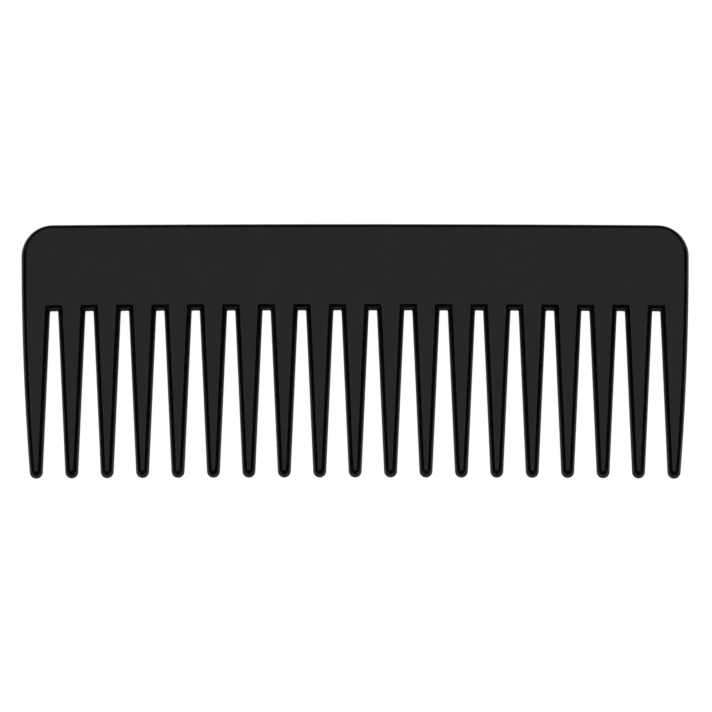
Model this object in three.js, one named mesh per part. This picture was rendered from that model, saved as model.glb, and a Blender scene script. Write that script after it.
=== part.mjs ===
// A wide tooth comb: one flat moulding in glossy black plastic, with a deep spine and nineteen
// tapering teeth.
//
// The comb lies on its back face. Its length runs along X, its teeth point to -Y and its thickness
// is along Z. The origin is under the middle of the comb, on the back face. All sizes are in mm.
//
// The moulding is divided along the roots of the teeth into a spine and nineteen teeth. They meet
// face to face, and together they are the whole comb.

import * as THREE from 'three';

// Driving dimensions of the outline.
const combLength = 165;
const combHeight = 62.65; // from the top edge to the tips, in the middle of the comb
const combThickness = 3.8;
const spineHeight = 21.3; // from the top edge to the roots of the teeth
const cornerRadius = 7.8;
const endRadius = 700; // the two ends bow outwards below the corners
const camber = 0.3; // how much lower the outer teeth sit than the middle one

// Driving dimensions of the teeth.
const toothCount = 19;
const toothPitch = 8.76;
const toothRootWidth = 6.76;
const toothTipWidth = 3.2; // where the round tip begins

// The edges bulge out from a shoulder to the parting line, at mid thickness, and a chamfer leads
// from the shoulder to the flat face. Each level says how high above the parting line it is, and
// how far in from the outline it lies: at the ends and the tooth flanks (side), at the top edge
// (top), at the bottoms of the gaps (root) and at the tips (tip).
const chamferDepth = 0.55;
const halfThickness = combThickness / 2;
const parting = { height: 0, side: 0, top: 0, root: 0, tip: 0 };
const bulge = { height: 0.75, side: 0.2, top: 0.06, root: 0.36, tip: 0.36 };
const shoulder = { height: halfThickness - chamferDepth, side: 0.46, top: 0.15, root: 0.73, tip: 0.74 };
const face = { height: halfThickness, side: 1.21, top: 0.74, root: 1.62, tip: 1.85 };

// How finely the round stretches are divided.
const cornerSteps = 8;
const topSteps = 12;
const spineEndSteps = 3;
const toothEndSteps = 6;
const tipSteps = 8;

// Places that follow from the driving dimensions.
const topY = (combHeight + camber) / 2;
const lastTooth = toothCount - 1;
const outerToothX = toothX(lastTooth);
const flankSlope = (toothRootWidth - toothTipWidth) / 2 / (combHeight - spineHeight - toothTipWidth / 2);
const cornerX = combLength / 2 - cornerRadius;
const cornerY = topY - drop(cornerX) - cornerRadius;

const blackPlastic = { color: 0x171618, roughness: 0.25, metalness: 0 };

function toothX(index) {
  return (index - (toothCount - 1) / 2) * toothPitch;
}

// How far the camber lowers the comb at x.
function drop(x) {
  return camber * (x / outerToothX) ** 2;
}

function rootY(index) {
  return topY - spineHeight - drop(toothX(index));
}

function tipY(index) {
  return topY - combHeight - drop(toothX(index));
}

// Half the comb's length at height y, on or below its corners.
function endX(y) {
  return combLength / 2 - (cornerY - y) ** 2 / (2 * endRadius);
}

// The straight flank on one side of a tooth (side is -1 or 1), also above the root.
function flankX(index, side, y) {
  return toothX(index) + side * (toothRootWidth / 2 + flankSlope * (y - rootY(index)));
}

// Whether one side of a tooth is an end of the comb.
function isEnd(index, side) {
  return index === (side < 0 ? 0 : lastTooth);
}

// The outline on one side of a tooth: its straight flank, or the end of the comb.
function edgeX(index, side, y) {
  return isEnd(index, side) ? side * endX(y) : flankX(index, side, y);
}

// A point of that outline at height y, moved in to a level.
function edgePoint(index, side, level, y) {
  return new THREE.Vector2(edgeX(index, side, y) - side * level.side, y);
}

function repeat(count, makePoint) {
  return Array.from({ length: count }, (_, step) => makePoint(step));
}

// The points down one side of a tooth at a level, from its root to just before its round tip. A
// straight flank needs only the first.
function toothSide(index, side, level, tipCentreY) {
  const steps = isEnd(index, side) ? toothEndSteps : 1;
  return repeat(steps, (step) => {
    return edgePoint(index, side, level, THREE.MathUtils.lerp(rootY(index), tipCentreY, step / steps));
  });
}

// A tooth's outline at a level, anticlockwise from above.
function toothRing(index, level) {
  const radius = toothTipWidth / 2 - level.side;
  const tipCentreY = tipY(index) + level.tip + radius;
  const left = edgeX(index, -1, tipCentreY) + level.side;
  const right = edgeX(index, 1, tipCentreY) - level.side;
  const tip = repeat(tipSteps + 1, (step) => {
    const angle = Math.PI * (1 + step / tipSteps);
    return new THREE.Vector2(
      (left + right) / 2 + ((right - left) / 2) * Math.cos(angle),
      tipCentreY + radius * Math.sin(angle),
    );
  });
  return [
    ...toothSide(index, -1, level, tipCentreY),
    ...tip,
    ...toothSide(index, 1, level, tipCentreY).reverse(),
  ];
}

// The spine's lower edge under one tooth at a level, from left to right: the corner of the gap on its
// left, the two ends of its root, and the corner of the gap on its right. At the parting line a
// gap's corner and the root's end coincide.
function spineRoot(index, level) {
  const y = rootY(index);
  const gapY = y + level.root;
  return [
    ...(isEnd(index, -1) ? [] : [edgePoint(index, -1, level, gapY)]),
    edgePoint(index, -1, level, y),
    edgePoint(index, 1, level, y),
    ...(isEnd(index, 1) ? [] : [edgePoint(index, 1, level, gapY)]),
  ];
}

// One end of the spine at a level, from the root of the outer tooth up to the corner.
function spineEnd(side, level) {
  return repeat(spineEndSteps - 1, (step) => {
    const y = THREE.MathUtils.lerp(rootY(0), cornerY, (step + 1) / spineEndSteps);
    return new THREE.Vector2(side * (endX(y) - level.side), y);
  });
}

// One rounded corner at a level, from the end of the comb up to the top edge.
function spineCorner(side, level) {
  return repeat(cornerSteps + 1, (step) => {
    const angle = ((Math.PI / 2) * step) / cornerSteps;
    return new THREE.Vector2(
      side * (cornerX + (cornerRadius - level.side) * Math.cos(angle)),
      cornerY + (cornerRadius - level.top) * Math.sin(angle),
    );
  });
}

// The top edge at a level, from right to left, without its two ends.
function spineTop(level) {
  return repeat(topSteps - 1, (step) => {
    const x = THREE.MathUtils.lerp(cornerX, -cornerX, (step + 1) / topSteps);
    return new THREE.Vector2(x, topY - drop(x) - level.top);
  });
}

// The spine's outline at a level, anticlockwise from above.
function spineRing(level) {
  return [
    ...repeat(toothCount, (index) => spineRoot(index, level)).flat(),
    ...spineEnd(1, level),
    ...spineCorner(1, level),
    ...spineTop(level),
    ...spineCorner(-1, level).reverse(),
    ...spineEnd(-1, level).reverse(),
  ];
}

// A closed solid with its outline at each level given by makeRing, and the same below the parting
// line as above it. All rings have as many points.
function mouldedSolid(makeRing) {
  const ringAt = (level, side) => {
    const height = halfThickness + side * level.height;
    return makeRing(level).map((point) => new THREE.Vector3(point.x, point.y, height));
  };
  const rings = [
    ...[face, shoulder, bulge, parting].map((level) => ringAt(level, 1)),
    ...[bulge, shoulder, face].map((level) => ringAt(level, -1)),
  ];
  const triangles = [];
  for (let place = 1; place < rings.length; place++) {
    triangles.push(...band(rings[place - 1], rings[place]));
  }
  const cap = THREE.ShapeUtils.triangulateShape(makeRing(face), []);
  const upper = rings[0];
  const lower = rings[rings.length - 1];
  for (const [a, b, c] of cap) {
    triangles.push([upper[a], upper[b], upper[c]], [lower[c], lower[b], lower[a]]);
  }
  const geometry = new THREE.BufferGeometry().setFromPoints(triangles.flat());
  geometry.computeVertexNormals();
  return geometry;
}

// The wall between two rings. Where a ring's neighbouring points coincide, a quad is a triangle.
function band(upper, lower) {
  const triangles = [];
  for (let here = 0; here < upper.length; here++) {
    const next = (here + 1) % upper.length;
    triangles.push([upper[here], lower[here], lower[next]]);
    triangles.push([upper[here], lower[next], upper[next]]);
  }
  return triangles.filter((corners) => new THREE.Triangle(...corners).getArea() > 1e-9);
}

function mouldedMesh(name, makeRing) {
  const mesh = new THREE.Mesh(mouldedSolid(makeRing), new THREE.MeshStandardMaterial(blackPlastic));
  mesh.name = name;
  return mesh;
}

const comb = new THREE.Group();
comb.name = 'wide_tooth_comb';
comb.add(mouldedMesh('spine', spineRing));
for (let index = 0; index < toothCount; index++) {
  const name = `tooth_${String(index + 1).padStart(2, '0')}`;
  comb.add(mouldedMesh(name, (level) => toothRing(index, level)));
}

export default comb;
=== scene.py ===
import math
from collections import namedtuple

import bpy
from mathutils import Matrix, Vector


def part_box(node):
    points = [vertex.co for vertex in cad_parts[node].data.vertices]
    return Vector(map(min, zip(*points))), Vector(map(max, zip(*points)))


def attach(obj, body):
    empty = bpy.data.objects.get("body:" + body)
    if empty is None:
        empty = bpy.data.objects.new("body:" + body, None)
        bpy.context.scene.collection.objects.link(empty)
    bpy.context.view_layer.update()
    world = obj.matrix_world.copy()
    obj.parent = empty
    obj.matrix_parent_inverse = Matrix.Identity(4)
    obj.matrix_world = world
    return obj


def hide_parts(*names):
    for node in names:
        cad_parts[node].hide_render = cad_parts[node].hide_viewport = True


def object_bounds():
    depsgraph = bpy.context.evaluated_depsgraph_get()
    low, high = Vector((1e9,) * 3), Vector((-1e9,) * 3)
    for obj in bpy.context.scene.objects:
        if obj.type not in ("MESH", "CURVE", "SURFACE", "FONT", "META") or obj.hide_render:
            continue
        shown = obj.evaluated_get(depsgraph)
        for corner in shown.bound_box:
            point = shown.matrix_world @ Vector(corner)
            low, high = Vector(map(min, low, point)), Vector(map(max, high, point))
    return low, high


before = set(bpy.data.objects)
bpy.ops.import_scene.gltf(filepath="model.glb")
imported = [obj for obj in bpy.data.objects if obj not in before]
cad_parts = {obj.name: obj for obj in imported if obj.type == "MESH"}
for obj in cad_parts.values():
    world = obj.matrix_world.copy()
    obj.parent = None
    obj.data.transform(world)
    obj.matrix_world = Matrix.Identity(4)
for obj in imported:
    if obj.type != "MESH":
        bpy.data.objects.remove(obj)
cad_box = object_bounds()

# A wide tooth comb in glossy black plastic, lying on a white table and seen from straight above.
# The real comb is one moulding, so one seamless mesh stands for the spine and all the teeth.
# Lengths are in metres. X runs along the comb, the teeth point to -Y and Z is up.

MM = 0.001

# The comb's main sizes come from the frame.
SPINE_LOW, SPINE_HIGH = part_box("spine")
TEETH = [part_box(node) for node in sorted(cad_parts) if node.startswith("tooth_")]
HALF_LENGTH = SPINE_HIGH.x
HALF_THICKNESS = (SPINE_HIGH.z - SPINE_LOW.z) / 2
TOP_Y = SPINE_HIGH.y
LAST_TOOTH = len(TEETH) - 1
MIDDLE_TOOTH = TEETH[len(TEETH) // 2]
TOOTH_ROOT_WIDTH = MIDDLE_TOOTH[1].x - MIDDLE_TOOTH[0].x
TOOTH_LENGTH = MIDDLE_TOOTH[1].y - MIDDLE_TOOTH[0].y
TOOTH_PITCH = (TEETH[-1][0].x - TEETH[1][0].x) / (len(TEETH) - 2)
OUTER_TOOTH_X = TOOTH_PITCH * LAST_TOOTH / 2
CAMBER = MIDDLE_TOOTH[1].y - TEETH[0][1].y

# Sizes that the boxes don't give.
TIP_WIDTH = 3.2 * MM
CORNER_RADIUS = 7.8 * MM
END_RADIUS = 700 * MM
ROOT_FILLET = 0.2 * MM
CHAMFER_DEPTH = 0.55 * MM
PARTING_RIDGE = 0.02 * MM

FLANK_SLOPE = (TOOTH_ROOT_WIDTH - TIP_WIDTH) / 2 / (TOOTH_LENGTH - TIP_WIDTH / 2)

# How finely the stretches of the outline are divided.
FLANK_STEPS = 8
TIP_STEPS = 20
FILLET_STEPS = 6
END_STEPS = 6
CORNER_STEPS = 20
TOP_STEPS = 24


def camber_drop(x):
    """How far the camber lowers the comb at x."""
    return CAMBER * (x / OUTER_TOOTH_X) ** 2


CORNER_X = HALF_LENGTH - CORNER_RADIUS
CORNER_Y = TOP_Y - camber_drop(CORNER_X) - CORNER_RADIUS

# The edge's section runs through these levels: its height above the middle of the thickness, how
# far in from the outline it lies at the ends and tooth flanks (side), at the top edge (top), at
# the bottoms of the gaps (root) and at the tooth tips (tip), and how worn it is, from 0 to 1.
# The same numbers make the edge's colour paler, which is partly rubbed gloss and partly a painted
# highlight.
Level = namedtuple("Level", "height side top root tip wear")
SEAM = Level(0, -PARTING_RIDGE, -PARTING_RIDGE, -PARTING_RIDGE, -PARTING_RIDGE, 0.6)
PARTING = Level(0.05 * MM, 0, 0, 0, 0, 0)
BULGE = Level(0.75 * MM, 0.2 * MM, 0.06 * MM, 0.36 * MM, 0.28 * MM, 0)
SHOULDER = Level(HALF_THICKNESS - CHAMFER_DEPTH, 0.46 * MM, 0.15 * MM, 0.73 * MM, 0.8 * MM, 0.6)
FACE = Level(HALF_THICKNESS, 1.25 * MM, 0.8 * MM, 1.64 * MM, 1.96 * MM, 1)
RIM = Level(HALF_THICKNESS, 1.4 * MM, 0.95 * MM, 1.79 * MM, 2.11 * MM, 0)


def mix(a, b, share):
    """The level that lies a share of the way from a to b."""
    return Level(*(p + (q - p) * share for p, q in zip(a, b)))


def curve(start, corner, end, steps):
    """Levels along a curve from start to end that heads for the corner between them."""
    levels = []
    for step in range(steps + 1):
        share = step / steps
        levels.append(mix(mix(start, corner, share), mix(corner, end, share), share))
    return levels


def section():
    """The levels from the flat face down to the parting line, rounded at each corner."""
    chamfer = [mix(FACE, SHOULDER, share)._replace(wear=0) for share in (0.3, 0.65)]
    return [
        RIM,
        *curve(mix(FACE, RIM, 0.6), FACE, mix(FACE, SHOULDER, 0.12), steps=4),
        *chamfer,
        *curve(mix(SHOULDER, FACE, 0.12), SHOULDER, mix(SHOULDER, BULGE, 0.15), steps=5),
        *curve(mix(SHOULDER, BULGE, 0.6), BULGE, mix(BULGE, PARTING, 0.6), steps=6),
        PARTING,
        SEAM,
    ]


def end_x(y):
    """Half the comb's length at height y, on or below its corners."""
    return HALF_LENGTH - (CORNER_Y - y) ** 2 / (2 * END_RADIUS)


def root_y(tooth):
    return TEETH[tooth][1].y


def tip_y(tooth):
    return TEETH[tooth][0].y


def edge_x(tooth, side, y, level):
    """One side (-1 or 1) of a tooth at a level: its straight flank, or the end of the comb."""
    if tooth == (0 if side < 0 else LAST_TOOTH):
        edge = side * end_x(y)
    else:
        middle = TOOTH_PITCH * tooth - OUTER_TOOTH_X
        edge = middle + side * (TOOTH_ROOT_WIDTH / 2 + FLANK_SLOPE * (y - root_y(tooth)))
    return edge - side * level.side


def between(low, high, steps):
    """Evenly spaced values from low to high, both included."""
    return [low + (high - low) * step / steps for step in range(steps + 1)]


def tooth_outline(tooth, level):
    """Down a tooth's left side, round its tip and up its right side."""
    radius = TIP_WIDTH / 2 - level.side
    centre_y = tip_y(tooth) + level.tip + radius
    left = edge_x(tooth, -1, centre_y, level)
    right = edge_x(tooth, 1, centre_y, level)
    top = root_y(tooth) + level.root - ROOT_FILLET
    heights = between(top, centre_y, FLANK_STEPS)[:-1]
    down = [(edge_x(tooth, -1, y, level), y) for y in heights]
    up = [(edge_x(tooth, 1, y, level), y) for y in reversed(heights)]
    tip = []
    for angle in between(math.pi, 2 * math.pi, TIP_STEPS):
        x = (left + right) / 2 + (right - left) / 2 * math.cos(angle)
        tip.append((x, centre_y + radius * math.sin(angle)))
    return down + tip + up


def fillet(start, corner, end):
    """The points between start and end of a curve that rounds the corner."""
    points = []
    for step in range(1, FILLET_STEPS):
        share = step / FILLET_STEPS
        a, b, c = (1 - share) ** 2, 2 * share * (1 - share), share**2
        points.append(tuple(a * p + b * q + c * r for p, q, r in zip(start, corner, end)))
    return points


def gap_corner(tooth, side, level):
    """The corner at the root of one side of a tooth, between the two ends of its fillet."""
    y = root_y(tooth) + level.root
    on_flank = (edge_x(tooth, side, y - ROOT_FILLET, level), y - ROOT_FILLET)
    corner = (edge_x(tooth, side, y, level), y)
    on_root = (corner[0] + side * ROOT_FILLET, y)
    return on_flank, corner, on_root


def gap_outline(tooth, level):
    """Across the bottom of the gap to the right of a tooth, with a fillet in each corner."""
    left_flank, left_corner, left_root = gap_corner(tooth, 1, level)
    right_flank, right_corner, right_root = gap_corner(tooth + 1, -1, level)
    return [
        *fillet(left_flank, left_corner, left_root),
        left_root,
        right_root,
        *fillet(right_root, right_corner, right_flank),
    ]


def spine_outline(level):
    """Up the right end of the spine, round its corners and down its left end."""
    bottom = root_y(0) + level.root - ROOT_FILLET
    heights = between(bottom, CORNER_Y, END_STEPS)[1:-1]
    right_half = [(end_x(y) - level.side, y) for y in heights]
    for angle in between(0, math.pi / 2, CORNER_STEPS):
        x = CORNER_X + (CORNER_RADIUS - level.side) * math.cos(angle)
        right_half.append((x, CORNER_Y + (CORNER_RADIUS - level.top) * math.sin(angle)))
    left_half = [(-x, y) for x, y in reversed(right_half)]
    top_places = between(CORNER_X, -CORNER_X, TOP_STEPS)[1:-1]
    top_edge = [(x, TOP_Y - camber_drop(x) - level.top) for x in top_places]
    return right_half + top_edge + left_half


def outline(level):
    """The comb's outline at a level in stretches: tooth, gap, tooth ... tooth, spine."""
    stretches = []
    for tooth in range(LAST_TOOTH):
        stretches += [tooth_outline(tooth, level), gap_outline(tooth, level)]
    return [*stretches, tooth_outline(LAST_TOOTH, level), spine_outline(level)]


def face_polygons(stretches):
    """Point numbers that divide the flat face into one polygon for each tooth and the spine."""
    tooth_polygons = []
    spine = []
    first = 0
    for place, stretch in enumerate(stretches):
        numbers = list(range(first, first + len(stretch)))
        first += len(stretch)
        is_tooth = place % 2 == 0 and place < len(stretches) - 1
        if is_tooth:
            tooth_polygons.append(numbers)
            spine += [numbers[0], numbers[-1]]
        else:
            spine += numbers
    return [*tooth_polygons, spine]


def wall_faces(rings, count):
    """The quads between rings of points, from the upper face down, with count points in each."""
    faces = []
    for ring in range(rings - 1):
        above, below = ring * count, (ring + 1) * count
        for here in range(count):
            after = (here + 1) % count
            faces.append((above + here, below + here, below + after, above + after))
    return faces


def comb_mesh():
    """The whole moulding: a wall of rings from face to face, closed by the two flat faces."""
    upper = section()
    lower = [level._replace(height=-level.height) for level in reversed(upper[:-1])]
    levels = upper + lower
    points = []
    wear = []
    for level in levels:
        for stretch in outline(level):
            points += [(x, y, HALF_THICKNESS + level.height) for x, y in stretch]
            wear += [level.wear] * len(stretch)
    count = len(points) // len(levels)
    faces = wall_faces(len(levels), count)
    lowest_ring = len(points) - count
    for polygon in face_polygons(outline(RIM)):
        faces.append(polygon)
        faces.append([lowest_ring + number for number in reversed(polygon)])
    mesh = bpy.data.meshes.new("comb_moulding")
    mesh.from_pydata(points, [], faces)
    # For each point, how worn the edge is. This also places the painted highlight along the edges.
    mesh.attributes.new("wear", "FLOAT", "POINT").data.foreach_set("value", wear)
    mesh.shade_smooth()
    return mesh


def add_comb(material):
    piece = bpy.data.objects.new("comb_moulding", comb_mesh())
    bpy.context.collection.objects.link(piece)
    piece.data.materials.append(material)
    normals = piece.modifiers.new("flat stretches stay flat", "WEIGHTED_NORMAL")
    normals.weight = 100
    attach(piece, "root")
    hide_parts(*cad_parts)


def fade(tree, value, low, high):
    """0 where the value is below low and 1 where it is above high, or the reverse if low > high."""
    node = tree.nodes.new("ShaderNodeMapRange")
    node.inputs["From Min"].default_value = low
    node.inputs["From Max"].default_value = high
    tree.links.new(value, node.inputs["Value"])
    return node.outputs["Result"]


def pattern(tree, size, low, high, turn=0.0):
    """Cloudy spots of a size along X, Y and Z, turned about Z: 0 below the level low, 1 above high."""
    place = tree.nodes.new("ShaderNodeTexCoord")
    fitted = tree.nodes.new("ShaderNodeMapping")
    fitted.vector_type = "TEXTURE"
    fitted.inputs["Rotation"].default_value = (0, 0, turn)
    fitted.inputs["Scale"].default_value = size
    noise = tree.nodes.new("ShaderNodeTexNoise")
    noise.inputs["Scale"].default_value = 1
    noise.inputs["Detail"].default_value = 2
    tree.links.new(place.outputs["Object"], fitted.inputs["Vector"])
    tree.links.new(fitted.outputs["Vector"], noise.inputs["Vector"])
    return fade(tree, noise.outputs["Fac"], low, high)


def round_pattern(tree, size, low, high):
    """Cloudy spots that are as large in every direction."""
    return pattern(tree, (size, size, size), low, high)


def calculate(tree, operation, *terms):
    """The result of a Math node whose terms are numbers or sockets."""
    node = tree.nodes.new("ShaderNodeMath")
    node.operation = operation
    for socket, term in zip(node.inputs, terms):
        if isinstance(term, (int, float)):
            socket.default_value = term
        else:
            tree.links.new(term, socket)
    return node.outputs["Value"]


def add_up(tree, total, *shares):
    """A number plus each pattern times its weight."""
    for value, weight in shares:
        total = calculate(tree, "MULTIPLY_ADD", value, weight, total)
    return total


def scratches(tree):
    """Hairlines: two groups run nearly along the teeth and two slant across the comb."""
    width = 0.06 * MM
    turns_and_lengths = ((90, 14 * MM), (83, 9 * MM), (20, 11 * MM), (-35, 7 * MM))
    hairlines = 0
    for turn, length in turns_and_lengths:
        group = pattern(tree, (length, width, length), 0.68, 0.74, math.radians(turn))
        hairlines = calculate(tree, "MAXIMUM", group, hairlines)
    return hairlines


def edge_wear_and_highlight(tree):
    """Patches along the edges where the gloss is rubbed off and the colour is paler, partly as a
    painted highlight.
    """
    along_edges = tree.nodes.new("ShaderNodeAttribute")
    along_edges.attribute_name = "wear"
    patches = round_pattern(tree, 2.5 * MM, 0.42, 0.62)
    return calculate(tree, "MULTIPLY", along_edges.outputs["Fac"], patches)


def bump(tree, height, depth, below=None):
    """Relief of a depth in metres, on top of the relief below it."""
    node = tree.nodes.new("ShaderNodeBump")
    node.inputs["Distance"].default_value = depth
    tree.links.new(height, node.inputs["Height"])
    if below is not None:
        tree.links.new(below, node.inputs["Normal"])
    return node.outputs["Normal"]


def black_plastic():
    """Glossy moulded plastic, slightly wavy, with finger marks, fine scratches and rubbed edges whose
    paler colour is partly a painted highlight.
    """
    material = bpy.data.materials.new("black_plastic")
    material.use_nodes = True
    tree = material.node_tree
    shader = tree.nodes["Principled BSDF"]
    shader.inputs["IOR"].default_value = 1.5
    hairlines = scratches(tree)
    rubbed_and_highlit = edge_wear_and_highlight(tree)
    marks = pattern(tree, (14 * MM, 9 * MM, 9 * MM), 0.35, 0.65, turn=0.4)
    mottle = round_pattern(tree, 1.6 * MM, 0.35, 0.65)

    polished = 0.13
    roughness = add_up(tree, polished, (marks, 0.06), (rubbed_and_highlit, 0.1), (hairlines, 0.11))
    tree.links.new(roughness, shader.inputs["Roughness"])

    # The rubbed edges make the colour paler. This is partly real wear and partly a painted highlight
    # along the edges.
    paler = add_up(tree, 0, (rubbed_and_highlit, 0.7), (hairlines, 0.2), (mottle, 0.16), (marks, 0.07))
    color = tree.nodes.new("ShaderNodeValToRGB")
    color.color_ramp.elements[0].color = (0.0036, 0.002, 0.0022, 1)
    color.color_ramp.elements[1].color = (0.014, 0.0124, 0.0128, 1)
    tree.links.new(paler, color.inputs["Fac"])
    tree.links.new(color.outputs["Color"], shader.inputs["Base Color"])

    waves = round_pattern(tree, 12 * MM, 0, 1)
    orange_peel = round_pattern(tree, 0.9 * MM, 0, 1)
    relief = bump(tree, waves, 0.06 * MM)
    relief = bump(tree, orange_peel, 0.006 * MM, relief)
    relief = bump(tree, hairlines, -0.004 * MM, relief)
    tree.links.new(relief, shader.inputs["Normal"])
    return material


def add_camera():
    """Straight above the comb, far enough away that its sides hardly show."""
    distance = 1.6
    comb_share = 0.937  # how much of the picture's width the comb fills
    shift_right, shift_down = 0.0012, 0.0064  # of the camera, as shares of the picture's width
    camera = bpy.data.objects.new("camera", bpy.data.cameras.new("camera"))
    bpy.context.collection.objects.link(camera)
    low, high = cad_box
    middle = (low + high) / 2
    width = (high.x - low.x) / comb_share
    camera.data.sensor_width = 36
    camera.data.lens = camera.data.sensor_width * distance / width
    x = middle.x + shift_right * width
    y = middle.y - shift_down * width
    camera.location = (x, y, HALF_THICKNESS + distance)
    bpy.context.scene.camera = camera


def white_floor():
    """A white table top that glows for the camera only, so that it looks as white as the room."""
    material = bpy.data.materials.new("white_floor")
    material.use_nodes = True
    tree = material.node_tree
    tree.nodes.clear()
    output = tree.nodes.new("ShaderNodeOutputMaterial")
    lit = tree.nodes.new("ShaderNodeBsdfDiffuse")
    lit.inputs["Color"].default_value = (0.88, 0.88, 0.88, 1)
    glow = tree.nodes.new("ShaderNodeEmission")
    glow.inputs["Strength"].default_value = 0.85
    seen = tree.nodes.new("ShaderNodeLightPath")
    both = tree.nodes.new("ShaderNodeAddShader")
    blend = tree.nodes.new("ShaderNodeMixShader")
    tree.links.new(lit.outputs[0], both.inputs[0])
    tree.links.new(glow.outputs[0], both.inputs[1])
    tree.links.new(seen.outputs["Is Camera Ray"], blend.inputs[0])
    tree.links.new(lit.outputs[0], blend.inputs[1])
    tree.links.new(both.outputs[0], blend.inputs[2])
    tree.links.new(blend.outputs[0], output.inputs["Surface"])
    return material


def add_floor():
    bpy.ops.mesh.primitive_circle_add(vertices=96, radius=6, fill_type="NGON")
    floor = bpy.context.object
    floor.name = "floor"
    floor.data.materials.append(white_floor())


def room_light(tree, z):
    """Soft light overhead, darkness lower down and a thin light at the horizon."""
    light = tree.nodes.new("ShaderNodeValToRGB")
    # Pairs of a direction's height, which is 0 at the horizon and 1 overhead, and its brightness.
    stops = [
        (0, 1),
        (0.05, 0.6),
        (0.11, 0.05),
        (0.2, 0.02),
        (0.63, 0.02),
        (0.73, 0.06),
        (0.855, 1.45),
        (0.91, 1.45),
        (0.975, 0.8),
        (1, 0.8),
    ]
    while len(light.color_ramp.elements) < len(stops):
        light.color_ramp.elements.new(0.5)
    for element, (height, level) in zip(light.color_ramp.elements, stops):
        element.position = height
        element.color = (0.97 * level, level, 1.09 * level, 1)
    tree.links.new(z, light.inputs["Fac"])
    return light.outputs["Color"]


def corner_glow(tree, x, y, z):
    """A faint glow in the room's four corners, in a band that is higher on the +Y side."""
    band_tilt = 0.17
    brightness = 1.3
    diagonal = calculate(tree, "ABSOLUTE", calculate(tree, "MULTIPLY", x, y))
    height = calculate(tree, "MULTIPLY_ADD", y, -band_tilt, z)
    in_corner = fade(tree, diagonal, 0.2, 0.4)
    above_bottom = fade(tree, height, 0.2, 0.3)
    below_top = fade(tree, height, 0.52, 0.44)
    in_band = calculate(tree, "MULTIPLY", above_bottom, below_top)
    return calculate(tree, "MULTIPLY", calculate(tree, "MULTIPLY", in_corner, in_band), brightness)


def dome_light(tree):
    """The light of the whole room, from every direction above the floor."""
    direction = tree.nodes.new("ShaderNodeTexCoord")
    split = tree.nodes.new("ShaderNodeSeparateXYZ")
    tree.links.new(direction.outputs["Generated"], split.inputs[0])
    x, y, z = split.outputs
    both = tree.nodes.new("ShaderNodeVectorMath")
    both.operation = "ADD"
    tree.links.new(room_light(tree, z), both.inputs[0])
    tree.links.new(corner_glow(tree, x, y, z), both.inputs[1])
    dome = tree.nodes.new("ShaderNodeBackground")
    dome.inputs["Strength"].default_value = 0.6
    tree.links.new(both.outputs[0], dome.inputs["Color"])
    return dome.outputs[0]


def light_studio():
    """The dome lights the comb and the floor. The camera sees plain white in its place."""
    world = bpy.data.worlds.new("studio")
    bpy.context.scene.world = world
    world.use_nodes = True
    tree = world.node_tree
    tree.nodes.clear()
    white = tree.nodes.new("ShaderNodeBackground")
    white.inputs["Color"].default_value = (1, 1, 1, 1)
    white.inputs["Strength"].default_value = 1.1
    seen = tree.nodes.new("ShaderNodeLightPath")
    blend = tree.nodes.new("ShaderNodeMixShader")
    output = tree.nodes.new("ShaderNodeOutputWorld")
    tree.links.new(seen.outputs["Is Camera Ray"], blend.inputs[0])
    tree.links.new(dome_light(tree), blend.inputs[1])
    tree.links.new(white.outputs[0], blend.inputs[2])
    tree.links.new(blend.outputs[0], output.inputs["Surface"])


bpy.context.scene.view_settings.view_transform = "Standard"
add_camera()
add_floor()
light_studio()
add_comb(black_plastic())
